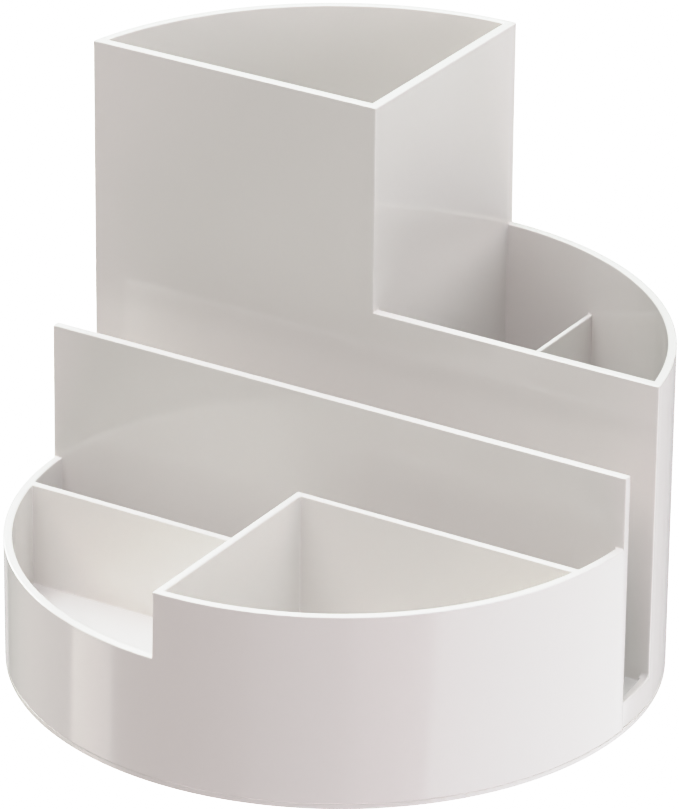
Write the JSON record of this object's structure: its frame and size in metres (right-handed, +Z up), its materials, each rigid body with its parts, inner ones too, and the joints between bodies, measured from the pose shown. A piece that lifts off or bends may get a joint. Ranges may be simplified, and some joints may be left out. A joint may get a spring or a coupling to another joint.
{
  "type": "desk organizer",
  "caption": "Round white plastic desk organizer with a tall pen cup, stepped compartments, low front trays and an open-ended letter slot across the middle.",
  "frame": {"origin": "centre of the round resting face, on the desk", "axes": "+Z up; +X along the letter slot towards its right mouth, with the tall pen cup on the left; -Y towards the low front trays"},
  "size_m": [0.14, 0.14, 0.12],
  "materials": {
    "base_plastic": "satin moulded white",
    "slot_floor_plastic": "satin white",
    "slot_front_plastic": "polished white sheet",
    "slot_rear_plastic": "polished white sheet",
    "front_wall_plastic": "polished white, curved",
    "rear_wall_plastic": "polished white, curved",
    "cup_wall_plastic": "polished white sheet",
    "rear_divider_plastic": "polished thin white sheet",
    "tray_divider_plastic": "polished white sheet",
    "tray_side_plastic": "polished white sheet"
  },
  "bodies": {
    "root": {"base_disc": "base_plastic", "slot_floor": "slot_floor_plastic", "slot_front_panel": "slot_front_plastic", "slot_rear_panel": "slot_rear_plastic", "front_outer_wall": "front_wall_plastic", "rear_outer_wall": "rear_wall_plastic", "pen_cup_side_wall": "cup_wall_plastic", "rear_divider": "rear_divider_plastic", "tray_back_divider": "tray_divider_plastic", "tray_side_divider": "tray_side_plastic"}
  },
  "joints": []
}
